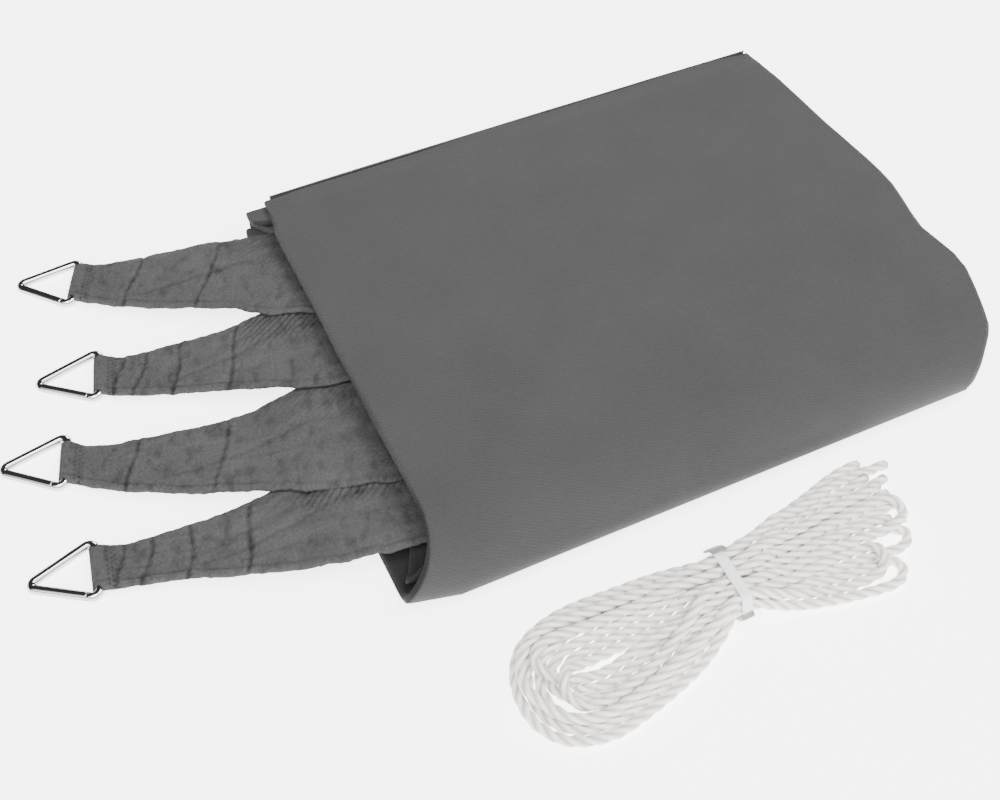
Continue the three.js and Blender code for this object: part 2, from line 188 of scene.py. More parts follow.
def slot_point(slot):
    """Where a run passes through the tie: its row (b, m or t) and its place from the back."""
    row, place = slot[0], int(slot[1])
    first = {"b": 2.0, "m": 2.5, "t": 2.0}[row]
    height = {"b": 4.3, "m": 11.2, "t": 18.1}[row]
    return np.array([WAIST_X, WAIST_Y + (first - place) * SLOT_PITCH, height])


def left_loop(back_slot, front_slot, back_y, front_y, reach, height, sway):
    """From the tie round the left lobe and back to the tie."""
    a, b = slot_point(back_slot), slot_point(front_slot)
    centre, half = (back_y + front_y) / 2, (back_y - front_y) / 2
    turn_x = reach + 0.8 * abs(half) + 6
    out = [a, (WAIST_X - 28, lerp(a[1], back_y, 0.22), lerp(a[2], height, 0.3)),
           (WAIST_X - 62, lerp(a[1], back_y, 0.62), lerp(a[2], height, 0.8)),
           (turn_x + 8, back_y, height)]
    turn = [
        (turn_x - (turn_x - reach) * math.sin(math.radians(g)),
         centre + half * math.cos(math.radians(g)) + sway * math.sin(math.radians(g)), height)
        for g in (35, 65, 90, 115, 145)
    ]
    home = [(turn_x + 8, front_y, height),
            (WAIST_X - 62, lerp(b[1], front_y, 0.62), lerp(b[2], height, 0.8)),
            (WAIST_X - 28, lerp(b[1], front_y, 0.22), lerp(b[2], height, 0.3)), b]
    return [*out, *turn, *home]


def right_loop(from_slot, to_slot, tip_x, centre, half, height):
    """From the tie round a loop at the right and back to the tie."""
    a, b = slot_point(from_slot), slot_point(to_slot)
    turn_x = tip_x - half * 1.25
    out = [(WAIST_X + 30, lerp(a[1], centre - half, 0.3), lerp(a[2], height, 0.35)),
           (lerp(WAIST_X, turn_x, 0.66), lerp(a[1], centre - half, 0.78), height),
           (turn_x, centre - half, height)]
    turn = [
        (turn_x + (tip_x - turn_x) * math.sin(math.radians(g)),
         centre - half * math.cos(math.radians(g)), height)
        for g in (45, 90, 135)
    ]
    home = [(turn_x, centre + half, height),
            (lerp(WAIST_X, turn_x, 0.66), lerp(b[1], centre + half, 0.78), height),
            (WAIST_X + 30, lerp(b[1], centre + half, 0.3), lerp(b[2], height, 0.35))]
    return [*out, *turn, *home]


def tip_run(slot, tip, height):
    """From a free tip at the right to the tie."""
    a = slot_point(slot)
    x, y = tip
    return [
        (x, y, height), (lerp(WAIST_X, x, 0.8), lerp(a[1], y, 0.86), height),
        (lerp(WAIST_X, x, 0.55), lerp(a[1], y, 0.6), lerp(a[2], height, 0.8)),
        (lerp(WAIST_X, x, 0.25), lerp(a[1], y, 0.22), lerp(a[2], height, 0.3)),
    ]


# Each rope: a tip, a left loop, a right loop, a left loop and a tip.
ROPE_LAYOUT = [
    dict(tips=[("m0", (207, -232), 4.0), ("b0", (219, -250), 4.0)],
         left=[("m0", "m5", -250, -344, -107, 4.0, -6), ("b4", "b0", -337, -258, -99, 4.0, -3)],
         right=("m5", "b4", 184, -318, 11.0, 4.0)),
    dict(tips=[("t0", (226, -240), 12.0), ("m1", (204, -243), 12.0)],
         left=[("t0", "t4", -259, -334, -101, 12.0, 6), ("m4", "m1", -320, -275, -82, 4.0, 4)],
         right=("t4", "m4", 178, -306, 10.5, 12.0)),
    dict(tips=[("b1", (212, -262), 4.0), ("m2", (201, -284), 12.0)],
         left=[("b1", "b3", -266, -329, -91, 4.0, -8), ("m3", "m2", -311, -284, -72, 4.0, 0)],
         right=("b3", "m3", 203, -296, 10.0, 4.0)),
    dict(tips=[("t1", (206, -256), 18.0), ("b2", (212, -272), 4.0)],
         left=[("t1", "t3", -268, -306, -88, 12.0, 8), ("t2", "b2", -325, -290, -80, 12.0, 3)],
         right=("t3", "t2", 212, -279, 11.0, 12.0)),
]


def rope_route(plan):
    (slot_a, tip_a, high_a), (slot_b, tip_b, high_b) = plan["tips"]
    first, second = plan["left"]
    points = tip_run(slot_a, tip_a, high_a)
    points += left_loop(*first)
    points += right_loop(*plan["right"])
    points += left_loop(*second)
    points += tip_run(slot_b, tip_b, high_b)[::-1]
    return resample(np.array(points, float), LINK)[0]


def settle(ropes, rounds):
    """Lets the ropes push each other apart and down on to the ground; the tie's slots hold."""
    sizes = [len(r) for r in ropes]
    starts = np.concatenate([[0], np.cumsum(sizes)])
    p = np.concatenate(ropes)
    which = np.repeat(np.arange(len(ropes)), sizes)
    index = np.concatenate([np.arange(n) for n in sizes])
    home = p.copy()
    near_tie = np.exp(-((p[:, 0] - WAIST_X) / TIE_REACH) ** 2)
    inner = np.ones(len(p), bool)
    inner[starts[:-1]] = False
    inner[starts[1:] - 1] = False
    inner = np.flatnonzero(inner)
    linked = np.flatnonzero(which[:-1] == which[1:])
    rest = np.linalg.norm(p[linked + 1] - p[linked], axis=1)
    for round_ in range(rounds):
        cool = 1 - round_ / rounds
        p[:, 2] -= DROP * cool
        middle = (p[inner - 1] + p[inner + 1]) / 2
        p[inner] += SMOOTHING * (middle - p[inner])
        if round_ % 8 == 0:
            gap = p[:, None, :] - p[None, :, :]
            close = (gap**2).sum(-1) < (ROPE + 5) ** 2
            same = (which[:, None] == which[None, :]) & (abs(index[:, None] - index[None, :]) < 5)
            pairs = np.argwhere(np.triu(close & ~same, 1))
        for _ in range(3):
            a, b = pairs[:, 0], pairs[:, 1]
            d = p[a] - p[b]
            length = np.linalg.norm(d, axis=1) + 1e-9
            push = np.clip(ROPE * CONTACT - length, 0, None)
            move = d / length[:, None] * (PUSH * push)[:, None]
            shift = np.zeros_like(p)
            count = np.zeros(len(p))
            np.add.at(shift, a, move)
            np.add.at(shift, b, -move)
            np.add.at(count, a, push > 0)
            np.add.at(count, b, push > 0)
            p += shift / np.maximum(1, 0.6 * count)[:, None]
            d = p[linked + 1] - p[linked]
            length = np.linalg.norm(d, axis=1)
            fix = d / length[:, None] * (0.5 * (length - rest))[:, None]
            p[linked] += fix
            p[linked + 1] -= fix
            p[:, 2] = np.maximum(p[:, 2], ROPE / 2 + 0.15)
        p[:, :2] += HOMING * (home - p)[:, :2]
        p += (TIE_HOLD * near_tie)[:, None] * (home - p)
    return [p[s:e] for s, e in zip(starts[:-1], starts[1:])]


def rope_surface(name, line):
    """Three laid strands as one skin round the line, with melted tips."""
    fine, at = resample(line, 1.7)
    around = 30
    _, side, up = tube_frames(fine)
    angle = np.arange(around) * 2 * math.pi / around
    strand, offset = STRAND_SHARE * ROPE, OFFSET_SHARE * ROPE
    phase = at * 2 * math.pi / ROPE_LAY
    third = 2 * math.pi / 3
    local = (angle[None, :] - phase[:, None] + third / 2) % third - third / 2
    inside = np.clip(strand**2 - (offset * np.sin(local)) ** 2, 0, None)
    radius = offset * np.cos(local) + np.sqrt(inside)
    end = np.minimum(at, at[-1] - at)
    melted = np.exp(-(end / MELT_LENGTH) ** 2)[:, None]
    radius = lerp(radius, 0.485 * ROPE, melted)
    dome = np.sqrt(np.clip(1 - (np.clip(3.0 - end, 0, 3.0) / 3.15) ** 2, 0.03, 1))
    radius = radius * dome[:, None]
    wave = 1 + 0.018 * value_noise(at[:, None] / 6, np.cos(angle)[None, :] * 2, 5)
    radius = radius * wave
    points = (
        fine[:, None, :]
        + side[:, None, :] * (radius * np.cos(angle))[:, :, None]
        + up[:, None, :] * (radius * np.sin(angle))[:, :, None]
    )
    points[:, :, 2] = np.maximum(points[:, :, 2], 0.05)
    turn = np.arange(around + 1) * 2 * math.pi / around
    across = (turn[None, :] - phase[:, None]) * ROPE / 2
    uv = np.stack(np.broadcast_arrays(across, at[:, None]), -1)
    obj = grid_object(name, points, uv, wrap=True, cap_first=True, cap_last=True)
    attribute = obj.data.attributes.new("melt", "FLOAT", "POINT")
    shade = np.repeat(melted.ravel(), around).astype(np.float32)
    attribute.data.foreach_set("value", shade)
    # How far out on its strand each point lies, which sets the painted shade in the valleys.
    depth = np.clip((radius / ROPE - 0.27) / 0.23, 0, 1)
    crest = obj.data.attributes.new("crest", "FLOAT", "POINT")
    crest.data.foreach_set("value", depth.astype(np.float32).ravel())
    return obj, fine


def tie_band(ropes):
    """A thin strap round the runs where they pass the waist."""
    centres = []
    for line in ropes:
        x = line[:, 0] - WAIST_X
        for i in np.flatnonzero(x[:-1] * x[1:] <= 0):
            t = x[i] / (x[i] - x[i + 1])
            centres.append(lerp(line[i], line[i + 1], t)[1:])
    centres = np.array(centres)
    angles = np.linspace(0, 2 * math.pi, 72, endpoint=False)
    aim = np.stack([np.cos(angles), np.sin(angles)], 1)
    held = centres[np.argmax(aim @ centres.T, axis=1)]
    inner = held + aim * (ROPE / 2 + TIE_GAP)
    outer = held + aim * (ROPE / 2 + TIE_GAP + TIE_THICK)
    half = TIE_WIDE / 2
    chamfer = 0.5
    section = [(-half, 0.0), (-half, 0.8), (chamfer - half, 1.0),
               (half - chamfer, 1.0), (half, 0.8), (half, 0.0)]
    slant = (inner[:, 1:] - 10) * 0.12
    rings = []
    for x, share in section:
        yz = lerp(inner, outer, share)
        yz[:, 1] = np.maximum(yz[:, 1], 0.15)
        rings.append(np.concatenate([WAIST_X + x + slant, yz], 1))
    points = np.stack(rings, 1)
    points = np.concatenate([points, points[:1]])
    run = np.linspace(0, 150, len(points))
    uv = np.stack(np.broadcast_arrays(np.arange(7)[None, :] * 1.2, run[:, None]), -1)
    band = grid_object("rope_tie", points, uv, wrap=True)
    return band, outer, slant


def strap_piece(name, line, width, thick):
    """A short flat length of strap along a line, its corners rounded off."""
    line = resample(np.array(line, float), 1.5)[0]
    tangent, _, _ = tube_frames(line)
    flat = np.cross(tangent, (1.0, 0.0, 0.0))
    flat /= np.linalg.norm(flat, axis=1)[:, None]
    turn = np.linspace(0, 2 * math.pi, 20, endpoint=False)
    round_x = np.sign(np.cos(turn)) * np.abs(np.cos(turn)) ** 0.5 * width / 2
    round_z = np.sign(np.sin(turn)) * np.abs(np.sin(turn)) ** 0.5 * thick / 2
    points = line[:, None, :] + flat[:, None, :] * round_z[None, :, None]
    points[:, :, 0] += round_x
    points[:, :, 2] = np.maximum(points[:, :, 2], 0.15)
    uv = np.zeros((len(line), len(turn) + 1, 2))
    uv[..., 1] = np.arange(len(line))[:, None] * 1.5
    return grid_object(name, points, uv, wrap=True, cap_first=True, cap_last=True)


rope_lines = settle([rope_route(plan) for plan in ROPE_LAYOUT], SETTLE_ROUNDS)
rope_objects = []
for number, line in enumerate(rope_lines, 1):
    rope, centre_line = rope_surface(f"rope_{number}", line)
    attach(rope, "ropes")
    rope_objects.append(rope)
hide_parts("rope_hank")
tie, strap_outline, strap_slant = tie_band(rope_lines)
front_most = strap_outline[np.argmin(strap_outline[:, 0])]
back_most = strap_outline[np.argmax(strap_outline[:, 0])]
head_x = WAIST_X + strap_slant.min()
head = strap_piece("tie_head", [
    (head_x, front_most[0] + 5.0, 1.9), (head_x + 0.5, front_most[0] + 1.5, 4.5),
    (head_x + 1, front_most[0] - 1.0, 10.0)], 10.0, 5.5)
tail_x = WAIST_X + strap_slant.max() + 4
loose = strap_piece("tie_loose_end", [
    (tail_x, back_most[0] - 5.0, back_most[1] + 7.0),
    (tail_x - 1, back_most[0] + 0.5, back_most[1] + 5.0),
    (tail_x - 3, back_most[0] + 4.0, back_most[1] + 0.5)], 12.0, 2.4)
for piece in (tie, head, loose):
    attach(piece, "ropes")
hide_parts("hank_tie")

# ---- Sail packet ----------------------------------------------------------------------------

PLIES = 12
TURN_STEPS = 9
# The lower run's last row is at this share of it, and the row before the fold stops short of it.
LOWER_LAST, LOWER_STOP = 0.93, 0.985
# The share of the upper run, at the back, that has closer rows.
BACK_SHARE = 0.13
HINGE_Z = 25.0
BACK_Z = 42.0
FRONT_Y, BACK_Y = -215.5, 190.0
LOWER_LEFT, UPPER_LEFT = -148.0, -117.0
LEFT_INSET, RIGHT_INSET = 5.5, 6.5
LOWER_RADIUS, UPPER_RADIUS = 24.7, 26.6
UPPER_BROAD = 2.1
RIGHT_X = [(-216, 318), (-207, 330), (-186, 351), (-150, 365), (-120, 374), (-95, 371), (-70, 367),
           (-42, 373), (-15, 378), (20, 377), (70, 373), (130, 370), (190, 367)]


def roll_section(inset):
    """One roll seen along Y. Side runs from 0 at the left to 1 at the right, bulge is how far in
    millimetres a turn goes past its end, and depth counts plies inward from the outside."""
    side, bulge, depth = [], [], []
    order = []
    for k in range(PLIES // 2):
        order += [k, PLIES - 1 - k]
    run = np.linspace(0, 1, 15)
    for step, ply in enumerate(order):
        leftward = step % 2 == 0
        along = run[::-1] if leftward else run
        side += list(along)
        bulge += [0.0] * len(along)
        depth += [float(ply)] * len(along)
        if step + 1 < len(order):
            other = order[step + 1]
            half = (other - ply) / 2
            for g in np.linspace(0, math.pi, TURN_STEPS)[1:-1]:
                side.append(0.0 if leftward else 1.0)
                bulge.append((-1 if leftward else 1) * abs(half) * math.sin(g))
                depth.append(ply + half * (1 - math.cos(g)))
    return np.array(side), np.array(bulge), np.array(depth) + inset


def roll_rows():
    """The roll's rows in order. Each is a share of the lower run, an angle in degrees in the
    front fold or a share of the upper run, which has closer rows at the back."""
    back_steps = np.linspace(0, BACK_SHARE, 13)[:-1]
    upper_run = (1 - np.concatenate([back_steps, np.linspace(BACK_SHARE, 1, 18)]))[::-1]
    rows = [("low", value) for value in np.linspace(0, LOWER_LAST, 15)]
    rows += [("turn", value) for value in np.linspace(-90, 90, 19)[1:-1]]
    rows += [("up", value) for value in upper_run]
    return rows


def left_end(up_share, y, is_inner):
    """Where plies at y end at the left. The inner roll is set back inside the mouth."""
    left = lerp(LOWER_LEFT, UPPER_LEFT, up_share) + LEFT_INSET
    if is_inner:
        set_back = lerp(22, 14, up_share) * smoothstep(-192, -160, y)
        left = left + 5 + set_back * smoothstep(182, 165, y)
        left = left - 22 * up_share * smoothstep(158, 180, y)
    return left + 11 * (1 - up_share) * smoothstep(140, 178, y)


def sail_roll(name, first_ply, seed):
    """One roll of plies turned round the front fold, from the back of the lower half to the back
    of the upper half."""
    side, bulge, ply = roll_section(first_ply)
    depth = ply / (2 * PLIES - 1)
    rows, shades = [], []
    for kind, value in roll_rows():
        angle = -90.0 if kind == "low" else 90.0 if kind == "up" else value
        up_share = smoothstep(-25, 88, angle)
        # The sides depend on y and y on the sides, so both are worked out three times.
        y_guess = np.full_like(depth, -190.0)
        for _ in range(3):
            left = left_end(up_share, y_guess, first_ply > 0)
            right = np.interp(y_guess, *zip(*RIGHT_X)) - RIGHT_INSET
            x = lerp(left, right, side) + bulge * (1 - 0.7 * smoothstep(140, 170, y_guess))
            reach = smoothstep(LOWER_LEFT, -50, x)
            shut = smoothstep(160, 182, y_guess)
            inner = lerp(9.5, 1.75, np.clip((x - LOWER_LEFT) / 98 + shut, 0, 1) ** 0.8)
            middle = lerp(23.5, HINGE_Z, np.clip((x - LOWER_LEFT) / 98 + shut, 0, 1))
            mouth = (1 - reach) * smoothstep(-60, -150, y_guess)
            gathered_in = np.where(depth > 0.5, 0.80 + 0.40 * (depth - 0.5), depth * 0.92)
            packed = lerp(depth, gathered_in, mouth)
            radius = lerp(LOWER_RADIUS, UPPER_RADIUS, up_share)
            r = lerp(radius, inner, packed)
            broad = lerp(1.0, UPPER_BROAD, smoothstep(-30, 90, angle))
            front = FRONT_Y + radius - r + 9 * smoothstep(48, -6, x - left) ** 2
            if kind == "turn":
                a = math.radians(angle)
                y = front + broad * r * (1 - math.cos(a))
                z = middle + r * math.sin(a)
            elif kind == "low":
                near = LOWER_STOP * value / LOWER_LAST if value < LOWER_LAST else 1.0
                y = lerp(BACK_Y, front + r, near)
                z = middle - r
            else:
                y = lerp(front + broad * r, BACK_Y, value)
                z = middle + r
            y_guess = y
        share = smoothstep(-130, 190, y)
        if kind == "up":
            tall = lerp(1.0, (BACK_Z - HINGE_Z) / UPPER_RADIUS, share)
            z = middle + (z - middle) * tall
            lift = (1 - depth) * smoothstep(-190, -120, y)
            swell = 1.1 * fractal(x / 95, y / 95, 11, 2) + 0.5 * fractal(x / 33, y / 33, 17, 2)
            z += lift * swell
        edge_fall = smoothstep(28, 0, right - x) * 3.2 + smoothstep(26, 0, x - left) * 1.6
        if kind != "low":
            z -= edge_fall * (1 - depth) * up_share
        near_back = smoothstep(24, 0, BACK_Y - y)
        pressed = 0.8256 if kind == "low" else 0.86
        z = lerp(z, HINGE_Z + (z - HINGE_Z) * pressed, near_back)
        ragged = 2.2 * value_noise(ply * 1.7 + 3.1, x / 90, seed) * smoothstep(-110, -60, x) - 1.2
        y = y + ragged * near_back
        near_side = smoothstep(20, 0, np.minimum(x - left, right - x)) * (1 - near_back)
        x = x + 0.9 * value_noise(ply * 0.9, y / 40, seed + 3) * near_side
        z = np.maximum(z, 0.3 + 0.2 * ply / 24)
        rows.append(np.stack([x, y, z], 1))
        # Painted shade: the inner plies inside the mouth at the front left are darkened where they
        # lie in shadow.
        inside = (ply > 0.5) * smoothstep(-60, -110, x) * smoothstep(-120, -165, y)
        shades.append(0.9 * inside)
    points = np.array(rows)
    step_v = np.linalg.norm(np.diff(points[:, 0], axis=0), axis=1)
    v = np.concatenate([[0], np.cumsum(step_v)])
    uv = np.stack(np.broadcast_arrays(points[:, :, 0], v[:, None]), -1)
    obj = grid_object(name, points, uv)
    attribute = obj.data.attributes.new("painted_shade", "FLOAT", "POINT")
    attribute.data.foreach_set("value", np.array(shades).astype(np.float32).ravel())
    return obj


outer_roll = sail_roll("sail_outer_folds", 0, 21)
inner_roll = sail_roll("sail_inner_folds", PLIES, 31)


def join(main, *others):
    with bpy.context.temp_override(
        active_object=main, selected_editable_objects=[main, *others], object=main
    ):
        bpy.ops.object.join()
    return main


outer_roll.name = "sail_folds"
sail = join(outer_roll, inner_roll)
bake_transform(sail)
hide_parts("sail_lower_folds", "sail_upper_folds")


def back_folds(name, low, high, left, ridges, seed):
    """The stacked fold edges that close one half of the packet at the back."""
    x = np.linspace(left, RIGHT_X[-1][1] - 9, 70)[:, None]
    place = np.linspace(0, 1, ridges * 8 + 1)[None, :]
    which = np.minimum(np.floor(place * ridges), ridges - 1)
    bulge = np.abs(np.sin(place * ridges * math.pi)) ** 0.6
    uneven = value_noise(x / 120, which * 2.3, seed)
    y = BACK_Y + 0.6 + (2.2 + 1.2 * uneven) * bulge
    sag = 0.4 * value_noise(x / 70, place * 4, seed + 1) * np.sin(place * math.pi)
    z = lerp(low, high, place) + sag
    points = np.stack(np.broadcast_arrays(x, y, z), -1)
    uv = np.stack(np.broadcast_arrays(x, place * ridges * 5), -1)
    return grid_object(name, points[::-1], uv[::-1])


lower_edges = back_folds("sail_lower_edges", 5.0, 24.2, LOWER_LEFT + 20, 10, 61)
upper_edges = back_folds("sail_upper_edges", 25.8, 39.0, UPPER_LEFT + 10, 7, 71)
for edges, body in ((lower_edges, "packet_base"), (upper_edges, "packet_top")):
    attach(edges, body)

# ---- Corner tails ---------------------------------------------------------------------------

HINGE_HEIGHT, BAR_HEIGHT = 22.0, 6.0
WIRE = 6.5
TAIL_END_X = -76.0
TAIL_CELL = 1.5

# Each tail: hinge point, heading in degrees from -X towards +Y, length from bar to hinge, half
# width and sideways shift as (distance from the bar, value), and its cross seams' distances.
TAILS = [
    dict(x=-146, y=137, heading=24, length=146, seams=(49, 113), ribbed=0.3, seed=101,
         half=[(0, 20.5), (13, 21.5), (46, 27.6), (78, 32.5), (102, 38), (139, 42), (175, 50)],
         shift=[(0, 1.5), (13, -2.5), (46, -5), (78, -5.5), (102, -4), (139, -6), (175, -6)]),
    dict(x=-150, y=55, heading=15, length=142, seams=(15, 33, 62, 106), ribbed=1.0, seed=202,
         half=[(0, 20), (10, 20), (29, 21), (62, 26.5), (102, 31.5), (136, 43), (175, 52)],
         shift=[(0, 1), (10, -5), (29, -8), (62, -11), (102, -11.5), (136, -9), (175, -6)]),
    dict(x=-154, y=-34, heading=17, length=185, seams=(50, 118), ribbed=0.3, seed=303,
         half=[(0, 19), (13, 18.5), (45, 23), (90, 30), (118, 33.6), (141, 37), (179, 52),
               (215, 58)],
         shift=[(0, 0.5), (13, -7), (45, -14), (90, -18), (118, -19), (141, -19), (179, -14),
                (215, -10)]),
    dict(x=-153, y=-111, heading=9.4, length=183, seams=(16, 36, 66, 108), ribbed=1.0, seed=404,
         half=[(0, 19.5), (10, 19), (28, 18.5), (60, 22), (95, 28), (129, 35.5), (165, 45),
               (205, 47)],
         shift=[(0, 1.5), (10, -3), (28, -5), (60, -7), (95, -11), (129, -10), (165, -9),
                (205, -7)]),
]


class TailFrame:
    """Places (distance from the bar, sideways, height above the middle) in the row frame."""

    def __init__(self, tail):
        self.length = tail["length"]
        angle = math.radians(tail["heading"])
        self.out = np.array([-math.cos(angle), math.sin(angle), 0.0])
        self.side = np.array([math.sin(angle), math.cos(angle), 0.0])
        self.slope = math.asin((HINGE_HEIGHT - BAR_HEIGHT) / self.length)
        self.hinge = np.array([tail["x"], tail["y"], HINGE_HEIGHT])
        self.bar = self.hinge + self.out * self.length * math.cos(self.slope)
        self.bar[2] = BAR_HEIGHT
        self.root = self.length + (TAIL_END_X - tail["x"]) / math.cos(angle)

    def place(self, distance, sideways, height):
        outside = np.minimum(distance, self.length)
        beyond = np.maximum(distance - self.length, 0)
        middle = BAR_HEIGHT + outside * math.sin(self.slope) + 2.2 * smoothstep(0, 60, beyond)
        along = -outside * math.cos(self.slope) - beyond
        base = self.bar[:2] + along[..., None] * self.out[:2] + sideways[..., None] * self.side[:2]
        return np.concatenate([base, (middle + height)[..., None]], -1)


def smooth_table(table, at):
    xs, ys = np.array(table, float).T
    fine = np.linspace(xs[0], xs[-1], 240)
    values = np.interp(fine, xs, ys)
    kernel = np.hanning(33)
    padded = np.concatenate([np.full(16, values[0]), values, np.full(16, values[-1])])
    return np.interp(at, fine, np.convolve(padded, kernel / kernel.sum(), "valid"))


def tail_relief(tail, t, v, half, top):
    """How far the gathered cloth stands out of the smooth tail, in mm, and how much painted shade
    its creases, seams and stitch lines get, from 0 to 1."""
    side = v * half
    length = tail["length"]
    seed = tail["seed"]
    spread = smoothstep(0.25 * length, 0.95 * length, t)
    # Gathers run along the tail and fan out with it towards the packet.
    wander = 0.9 * fractal(t / 42, v * 1.2, seed, 2)
    gathers = np.sin(2 * math.pi * (2.6 * v + wander)) * lerp(0.25, 1.0, spread)
    gathers += 0.7 * np.sin(2 * math.pi * (4.6 * v + 1.7 * wander + 0.3)) * lerp(0.45, 0.5, spread)
    # Crinkles: short wavelets across the tail, tighter near the ring.
    fine = lerp(1.0, 1.6, smoothstep(0, length, t))
    crinkle = fractal(t / (3.4 * fine), side / (6.5 * fine), seed + 10, 3)
    bunch = fractal(t / 13, side / 9, seed + 20, 2)
    relief = 0.38 * gathers + 0.8 * crinkle + 0.8 * bunch
    # Painted shade in the hollows of the crinkles and bunches.
    shade = 0.8 * np.clip(-crinkle - 0.10, 0, 1) + 0.08 * np.clip(-bunch, 0, 1)
    # A ridge where one gather folds over the next, slanting up from the middle of the tail.
    ridge_v = lerp(-0.55, 0.25, np.clip((t - 0.35 * length) / (0.6 * length), 0, 1))
    on_ridge = smoothstep(0.33 * length, 0.45 * length, t)
    on_ridge = on_ridge * smoothstep(1.12 * length, 0.9 * length, t)
    step = smoothstep(-0.10, 0.02, v - ridge_v) * smoothstep(0.45, 0.1, v - ridge_v)
    relief += 1.5 * step * on_ridge * top
    # Painted shade along the foot of the ridge.
    shade += 0.4 * np.exp(-((v - ridge_v + 0.07) / 0.035) ** 2) * on_ridge
    # Ribs of the knit, stretched slantwise near the packet.
    ribs = np.sin(2 * math.pi * (t * 0.74 - side * 0.67 + 1.2 * crinkle) / 4.6)
    ribbed = smoothstep(0.72 * length, 0.92 * length, t) * smoothstep(-0.1, 0.25, v)
    ribbed = ribbed * tail["ribbed"]
    relief += 0.7 * ribs * ribbed
    # Painted shade in the hollows between the ribs.
    shade += 0.6 * np.clip(-ribs, 0, 1) * ribbed
    # Cross seams: a pinched line with puckers either side.
    for number, seam in enumerate(tail["seams"]):
        line = seam + (6 if number % 2 else 4) * v + 1.5 * np.sin(3 * v + number)
        off = t - line
        patchy = value_noise(side / 5, number * 3.7, seed + 40)
        broken = 0.55 + 0.45 * smoothstep(-0.35, 0.35, patchy)
        relief -= 2.1 * np.exp(-(off / 1.7) ** 2) * broken
        # Painted shade in the seam's pinched line.
        shade += 0.7 * np.exp(-(off / 1.2) ** 2) * broken
        relief += 0.55 * np.exp(-(off / 6.5) ** 2) * np.sin(side / 1.15 + number * 2)
        relief += 0.5 * np.exp(-((abs(off) - 3.2) / 1.8) ** 2)
    # The hem: a doubled band along the front edge, with its stitch line.
    from_edge = (v + 1) * half
    relief += 0.7 * smoothstep(6.2, 5.2, from_edge) * top
    relief -= 0.6 * np.exp(-((from_edge - 6.0) / 0.7) ** 2) * top
    # Painted shade along the hem's stitch line.
    shade += 0.22 * np.exp(-((from_edge - 6.2) / 0.9) ** 2) * top
    relief += 0.25 * smoothstep(6.0, 5.0, from_edge) * np.sin(t / 0.95) * top
    # Rows of stitches across the loop that holds the ring.
    for row in (7.5, 10.5, 13.0):
        stitch = np.exp(-((t - row) / 0.9) ** 2) * (0.5 + 0.5 * np.sin(side / 0.62 + row))
        relief -= 0.5 * stitch
        # Painted shade along the stitch rows.
        shade += 0.7 * stitch
    return relief, np.clip(shade, 0, 1)


def tail_object(number, tail, placed):
    loop_radius = 5.2
    start = np.array([-loop_radius * math.cos(g) for g in np.linspace(0.12, math.pi / 2, 7)[:-1]])
    t = np.concatenate([start, np.linspace(0, placed.root, int(placed.root / TAIL_CELL))])
    top_count = 46
    spread = np.linspace(0, math.pi, top_count)
    v_top = -np.cos(spread) * 0.35 + 0.65 * np.linspace(-1, 1, top_count)
    v_under = v_top[::-1][1:-1][::2]
    v = np.concatenate([v_top, v_under])
    is_top = np.concatenate([np.ones(top_count), -np.ones(len(v_under))])
    grid_t, grid_v = np.meshgrid(t, v, indexing="ij")
    sign = np.broadcast_to(is_top, grid_v.shape)
    half = smooth_table(tail["half"], np.maximum(t, 0))[:, None]
    shift = smooth_table(tail["shift"], np.maximum(t, 0))[:, None]
    wobble = 1 + 0.045 * fractal(grid_t / 17, np.sign(grid_v) * 3, tail["seed"] + 5, 2)
    thick_t = np.interp(np.maximum(t, 0), [0, 8, 18, 40, 90, placed.length, placed.root],
                        [loop_radius, 4.0, 3.0, 3.1, 3.6, 3.9, 2.2])
    loop_curve = loop_radius * np.sqrt(np.clip(1 - (t / loop_radius) ** 2, 0, 1))
    thick_t = np.where(t < 0, loop_curve, thick_t)
    profile = np.clip(1 - np.abs(grid_v) ** 3.2, 0, 1) ** 0.5
    height = sign * thick_t[:, None] * profile
    relief, shade = tail_relief(tail, grid_t, grid_v, half, (sign > 0).astype(float))
    fade = smoothstep(1.0, 0.9, np.abs(grid_v)) * smoothstep(-4.6, 1.5, grid_t)
    fade = fade * smoothstep(placed.root, placed.root - 30, grid_t)
    under = np.where(sign > 0, 1.0, -0.35)
    height = height + relief * under * lerp(0.25, 1.0, fade) * np.where(grid_t < 0, 0.3, 1)
    edge_wave = 0.7 * fractal(grid_t / 4.5, np.sign(grid_v) * 2 + 9, tail["seed"] + 8, 2)
    edge_wave = edge_wave * smoothstep(0.75, 1, np.abs(grid_v)) * np.sign(grid_v)
    sideways = shift + grid_v * half * wobble + edge_wave
    tilt = -0.055 * sideways * smoothstep(0.4 * placed.length, placed.length, grid_t)
    points = placed.place(grid_t, sideways, height + tilt)
    points[..., 2] = np.maximum(points[..., 2], 0.3 + 0.15 * (sign > 0))
    side_uv = np.concatenate([(grid_v * half), (grid_v * half)[:, :1]], 1)
    t_uv = np.concatenate([grid_t, grid_t[:, :1]], 1)
    obj = grid_object(f"corner_{number}_cloth", points, np.stack([side_uv, t_uv], -1),
                      wrap=True, cap_first=True, cap_last=True)
    # The tail's shade values are painted shade in its creases, seams and stitch lines.
    attribute = obj.data.attributes.new("painted_shade", "FLOAT", "POINT")
    attribute.data.foreach_set("value", shade.astype(np.float32).ravel())
    return obj


